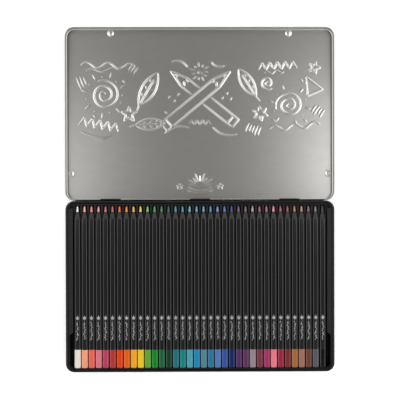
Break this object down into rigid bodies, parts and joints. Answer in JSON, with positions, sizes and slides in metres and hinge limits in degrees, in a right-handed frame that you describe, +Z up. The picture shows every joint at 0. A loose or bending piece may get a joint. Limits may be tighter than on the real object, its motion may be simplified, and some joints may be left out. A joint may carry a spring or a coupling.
{
  "type": "coloured pencil tin",
  "caption": "Flat hinged tin lying open, its formed tray holding a row of sharpened triangular colour pencils.",
  "frame": {"origin": "middle of the base's flat underside", "axes": "+X along the row of pencils, +Y from the front of the base to the opened lid, +Z up"},
  "size_m": [0.292, 0.3735, 0.0134],
  "materials": {
    "black_lacquered_tin": "satin black lacquer on drawn tin",
    "satin_tin": "bare satin tin inside, black lacquer outside",
    "black_tray_plastic": "thin formed sheet, soft sheen",
    "lacquered_wood": "black lacquer with a blunt end dipped in the pencil's own colour"
  },
  "bodies": {
    "base": {"base_shell": "black_lacquered_tin"},
    "lid": {"lid_shell": "satin_tin"},
    "tray": {"pencil_tray": "black_tray_plastic"},
    "pencil_01": {"pencil_01": "lacquered_wood"},
    "pencil_02": {"pencil_02": "lacquered_wood"},
    "pencil_03": {"pencil_03": "lacquered_wood"},
    "pencil_04": {"pencil_04": "lacquered_wood"},
    "pencil_05": {"pencil_05": "lacquered_wood"},
    "pencil_06": {"pencil_06": "lacquered_wood"},
    "pencil_07": {"pencil_07": "lacquered_wood"},
    "pencil_08": {"pencil_08": "lacquered_wood"},
    "pencil_09": {"pencil_09": "lacquered_wood"},
    "pencil_10": {"pencil_10": "lacquered_wood"},
    "pencil_11": {"pencil_11": "lacquered_wood"},
    "pencil_12": {"pencil_12": "lacquered_wood"},
    "pencil_13": {"pencil_13": "lacquered_wood"},
    "pencil_14": {"pencil_14": "lacquered_wood"},
    "pencil_15": {"pencil_15": "lacquered_wood"},
    "pencil_16": {"pencil_16": "lacquered_wood"},
    "pencil_17": {"pencil_17": "lacquered_wood"},
    "pencil_18": {"pencil_18": "lacquered_wood"},
    "pencil_19": {"pencil_19": "lacquered_wood"},
    "pencil_20": {"pencil_20": "lacquered_wood"},
    "pencil_21": {"pencil_21": "lacquered_wood"},
    "pencil_22": {"pencil_22": "lacquered_wood"},
    "pencil_23": {"pencil_23": "lacquered_wood"},
    "pencil_24": {"pencil_24": "lacquered_wood"},
    "pencil_25": {"pencil_25": "lacquered_wood"},
    "pencil_26": {"pencil_26": "lacquered_wood"},
    "pencil_27": {"pencil_27": "lacquered_wood"},
    "pencil_28": {"pencil_28": "lacquered_wood"},
    "pencil_29": {"pencil_29": "lacquered_wood"},
    "pencil_30": {"pencil_30": "lacquered_wood"},
    "pencil_31": {"pencil_31": "lacquered_wood"},
    "pencil_32": {"pencil_32": "lacquered_wood"},
    "pencil_33": {"pencil_33": "lacquered_wood"},
    "pencil_34": {"pencil_34": "lacquered_wood"},
    "pencil_35": {"pencil_35": "lacquered_wood"},
    "pencil_36": {"pencil_36": "lacquered_wood"}
  },
  "joints": [
    {"name": "lid_hinge", "type": "hinge", "parent": "base", "child": "lid", "pos_m": [0, 0.09355, 0.00751], "axis": [1, 0, 0], "range_deg": [0, 180]},
    {"name": "tray_lift", "type": "slide", "parent": "base", "child": "tray", "axis": [0, 0, 1], "range_m": [0, 0.03]},
    {"name": "pencil_01_lift", "type": "slide", "parent": "tray", "child": "pencil_01", "axis": [0, 0, 1], "range_m": [0, 0.03]},
    {"name": "pencil_02_lift", "type": "slide", "parent": "tray", "child": "pencil_02", "axis": [0, 0, 1], "range_m": [0, 0.03]},
    {"name": "pencil_03_lift", "type": "slide", "parent": "tray", "child": "pencil_03", "axis": [0, 0, 1], "range_m": [0, 0.03]},
    {"name": "pencil_04_lift", "type": "slide", "parent": "tray", "child": "pencil_04", "axis": [0, 0, 1], "range_m": [0, 0.03]},
    {"name": "pencil_05_lift", "type": "slide", "parent": "tray", "child": "pencil_05", "axis": [0, 0, 1], "range_m": [0, 0.03]},
    {"name": "pencil_06_lift", "type": "slide", "parent": "tray", "child": "pencil_06", "axis": [0, 0, 1], "range_m": [0, 0.03]},
    {"name": "pencil_07_lift", "type": "slide", "parent": "tray", "child": "pencil_07", "axis": [0, 0, 1], "range_m": [0, 0.03]},
    {"name": "pencil_08_lift", "type": "slide", "parent": "tray", "child": "pencil_08", "axis": [0, 0, 1], "range_m": [0, 0.03]},
    {"name": "pencil_09_lift", "type": "slide", "parent": "tray", "child": "pencil_09", "axis": [0, 0, 1], "range_m": [0, 0.03]},
    {"name": "pencil_10_lift", "type": "slide", "parent": "tray", "child": "pencil_10", "axis": [0, 0, 1], "range_m": [0, 0.03]},
    {"name": "pencil_11_lift", "type": "slide", "parent": "tray", "child": "pencil_11", "axis": [0, 0, 1], "range_m": [0, 0.03]},
    {"name": "pencil_12_lift", "type": "slide", "parent": "tray", "child": "pencil_12", "axis": [0, 0, 1], "range_m": [0, 0.03]},
    {"name": "pencil_13_lift", "type": "slide", "parent": "tray", "child": "pencil_13", "axis": [0, 0, 1], "range_m": [0, 0.03]},
    {"name": "pencil_14_lift", "type": "slide", "parent": "tray", "child": "pencil_14", "axis": [0, 0, 1], "range_m": [0, 0.03]},
    {"name": "pencil_15_lift", "type": "slide", "parent": "tray", "child": "pencil_15", "axis": [0, 0, 1], "range_m": [0, 0.03]},
    {"name": "pencil_16_lift", "type": "slide", "parent": "tray", "child": "pencil_16", "axis": [0, 0, 1], "range_m": [0, 0.03]},
    {"name": "pencil_17_lift", "type": "slide", "parent": "tray", "child": "pencil_17", "axis": [0, 0, 1], "range_m": [0, 0.03]},
    {"name": "pencil_18_lift", "type": "slide", "parent": "tray", "child": "pencil_18", "axis": [0, 0, 1], "range_m": [0, 0.03]},
    {"name": "pencil_19_lift", "type": "slide", "parent": "tray", "child": "pencil_19", "axis": [0, 0, 1], "range_m": [0, 0.03]},
    {"name": "pencil_20_lift", "type": "slide", "parent": "tray", "child": "pencil_20", "axis": [0, 0, 1], "range_m": [0, 0.03]},
    {"name": "pencil_21_lift", "type": "slide", "parent": "tray", "child": "pencil_21", "axis": [0, 0, 1], "range_m": [0, 0.03]},
    {"name": "pencil_22_lift", "type": "slide", "parent": "tray", "child": "pencil_22", "axis": [0, 0, 1], "range_m": [0, 0.03]},
    {"name": "pencil_23_lift", "type": "slide", "parent": "tray", "child": "pencil_23", "axis": [0, 0, 1], "range_m": [0, 0.03]},
    {"name": "pencil_24_lift", "type": "slide", "parent": "tray", "child": "pencil_24", "axis": [0, 0, 1], "range_m": [0, 0.03]},
    {"name": "pencil_25_lift", "type": "slide", "parent": "tray", "child": "pencil_25", "axis": [0, 0, 1], "range_m": [0, 0.03]},
    {"name": "pencil_26_lift", "type": "slide", "parent": "tray", "child": "pencil_26", "axis": [0, 0, 1], "range_m": [0, 0.03]},
    {"name": "pencil_27_lift", "type": "slide", "parent": "tray", "child": "pencil_27", "axis": [0, 0, 1], "range_m": [0, 0.03]},
    {"name": "pencil_28_lift", "type": "slide", "parent": "tray", "child": "pencil_28", "axis": [0, 0, 1], "range_m": [0, 0.03]},
    {"name": "pencil_29_lift", "type": "slide", "parent": "tray", "child": "pencil_29", "axis": [0, 0, 1], "range_m": [0, 0.03]},
    {"name": "pencil_30_lift", "type": "slide", "parent": "tray", "child": "pencil_30", "axis": [0, 0, 1], "range_m": [0, 0.03]},
    {"name": "pencil_31_lift", "type": "slide", "parent": "tray", "child": "pencil_31", "axis": [0, 0, 1], "range_m": [0, 0.03]},
    {"name": "pencil_32_lift", "type": "slide", "parent": "tray", "child": "pencil_32", "axis": [0, 0, 1], "range_m": [0, 0.03]},
    {"name": "pencil_33_lift", "type": "slide", "parent": "tray", "child": "pencil_33", "axis": [0, 0, 1], "range_m": [0, 0.03]},
    {"name": "pencil_34_lift", "type": "slide", "parent": "tray", "child": "pencil_34", "axis": [0, 0, 1], "range_m": [0, 0.03]},
    {"name": "pencil_35_lift", "type": "slide", "parent": "tray", "child": "pencil_35", "axis": [0, 0, 1], "range_m": [0, 0.03]},
    {"name": "pencil_36_lift", "type": "slide", "parent": "tray", "child": "pencil_36", "axis": [0, 0, 1], "range_m": [0, 0.03]}
  ]
}
